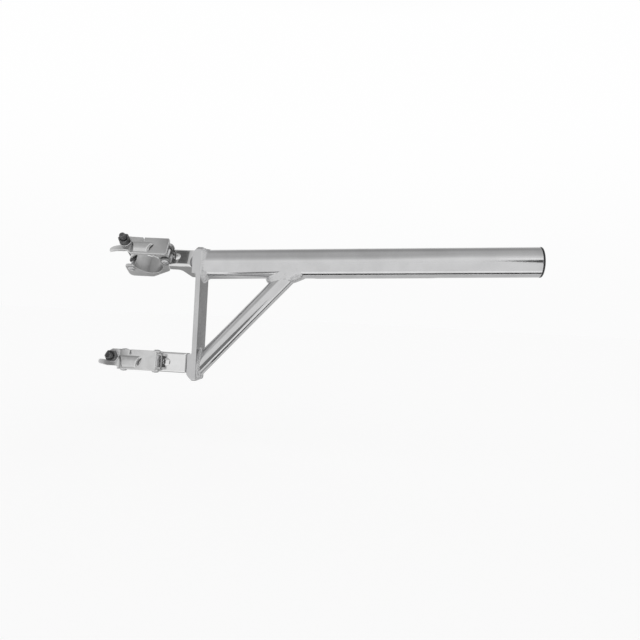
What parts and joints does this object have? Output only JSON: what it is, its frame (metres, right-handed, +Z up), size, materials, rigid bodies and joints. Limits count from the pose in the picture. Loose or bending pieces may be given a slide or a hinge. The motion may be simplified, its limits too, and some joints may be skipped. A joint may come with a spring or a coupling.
{
  "type": "lighting pipe",
  "caption": "Horizontal pipe welded to an upright bar with a diagonal brace, carried by two swivelling tube clamps with hinged jaws and swing bolts.",
  "frame": {"origin": "on the truss-side face of the upright bar, on its centre line, halfway between the two clamp pivots", "axes": "+X away from the truss, along the level direction of the pipe; +Y away from the side that the clamps' nuts face; +Z up, along the bar"},
  "size_m": [0.7198, 0.0955, 0.2512],
  "materials": {
    "aluminium": "polished, with faint lines along the tube",
    "weld_metal": "bright rippled weld",
    "zinc_steel": "zinc plated, satin",
    "dark_steel": "dark, slightly oily",
    "black_plastic": "matt"
  },
  "bodies": {
    "arm": {"mounting_bar": "aluminium", "main_pipe": "aluminium", "pipe_end_cap": "black_plastic", "brace_tube": "aluminium", "pipe_weld": "weld_metal", "brace_foot_weld": "weld_metal", "brace_head_weld": "weld_metal", "upper_pivot_bolt": "dark_steel", "upper_pivot_washer": "zinc_steel", "upper_pivot_nut": "zinc_steel", "lower_pivot_bolt": "dark_steel", "lower_pivot_washer": "zinc_steel", "lower_pivot_nut": "zinc_steel"},
    "upper_clamp_body": {"upper_swivel_bracket": "zinc_steel", "upper_rear_jaw": "zinc_steel", "upper_jaw_rivet": "zinc_steel", "upper_hinge_pin": "zinc_steel", "upper_t_bolt_pin": "zinc_steel"},
    "upper_jaw": {"upper_front_jaw": "zinc_steel"},
    "upper_bolt": {"upper_t_bolt": "dark_steel"},
    "upper_washer": {"upper_clamp_washer": "zinc_steel"},
    "upper_nut": {"upper_clamp_nut": "dark_steel"},
    "lower_clamp_body": {"lower_swivel_bracket": "zinc_steel", "lower_rear_jaw": "zinc_steel", "lower_jaw_rivet": "zinc_steel", "lower_hinge_pin": "zinc_steel", "lower_t_bolt_pin": "zinc_steel"},
    "lower_jaw": {"lower_front_jaw": "zinc_steel"},
    "lower_bolt": {"lower_t_bolt": "dark_steel"},
    "lower_washer": {"lower_clamp_washer": "zinc_steel"},
    "lower_nut": {"lower_clamp_nut": "dark_steel"}
  },
  "joints": [
    {"name": "upper_swivel", "type": "hinge", "parent": "arm", "child": "upper_clamp_body", "pos_m": [0, 0, 0.085], "axis": [1, 0, 0], "continuous": true},
    {"name": "upper_jaw_hinge", "type": "hinge", "parent": "upper_clamp_body", "child": "upper_jaw", "pos_m": [-0.051, -0.02252, 0.098], "axis": [0, 0.5, 0.866], "range_deg": [0, 4]},
    {"name": "upper_bolt_swing", "type": "hinge", "parent": "upper_clamp_body", "child": "upper_bolt", "pos_m": [-0.116, -0.00173, 0.086], "axis": [0, -0.5, -0.866], "range_deg": [0, 100]},
    {"name": "upper_nut_travel", "type": "slide", "parent": "upper_bolt", "child": "upper_washer", "axis": [0, -0.866, 0.5], "range_m": [0, 0.006]},
    {"name": "upper_nut_spin", "type": "hinge", "parent": "upper_washer", "child": "upper_nut", "pos_m": [-0.116, 0.00027, 0.08946], "axis": [0, -0.866, 0.5], "range_deg": [0, 1440]},
    {"name": "lower_swivel", "type": "hinge", "parent": "arm", "child": "lower_clamp_body", "pos_m": [0, 0, -0.085], "axis": [1, 0, 0], "continuous": true},
    {"name": "lower_jaw_hinge", "type": "hinge", "parent": "lower_clamp_body", "child": "lower_jaw", "pos_m": [-0.059, -0.02586, -0.08228], "axis": [0, 0.1045, 0.9945], "range_deg": [0, 4]},
    {"name": "lower_bolt_swing", "type": "hinge", "parent": "lower_clamp_body", "child": "lower_bolt", "pos_m": [-0.124, -0.00199, -0.08479], "axis": [0, -0.1045, -0.9945], "range_deg": [0, 100]},
    {"name": "lower_nut_travel", "type": "slide", "parent": "lower_bolt", "child": "lower_washer", "axis": [0, -0.9945, 0.1045], "range_m": [0, 0.006]},
    {"name": "lower_nut_spin", "type": "hinge", "parent": "lower_washer", "child": "lower_nut", "pos_m": [-0.124, -0.00157, -0.08081], "axis": [0, -0.9945, 0.1045], "range_deg": [0, 1440]}
  ],
  "couplings": [
    {"joint": "upper_nut_travel", "follows": "upper_nut_spin", "m_per_rad": 0.00023873},
    {"joint": "upper_jaw_hinge", "follows": "upper_nut_spin", "ratio": 0.0027777},
    {"joint": "lower_nut_travel", "follows": "lower_nut_spin", "m_per_rad": 0.00023873},
    {"joint": "lower_jaw_hinge", "follows": "lower_nut_spin", "ratio": 0.0027777}
  ]
}
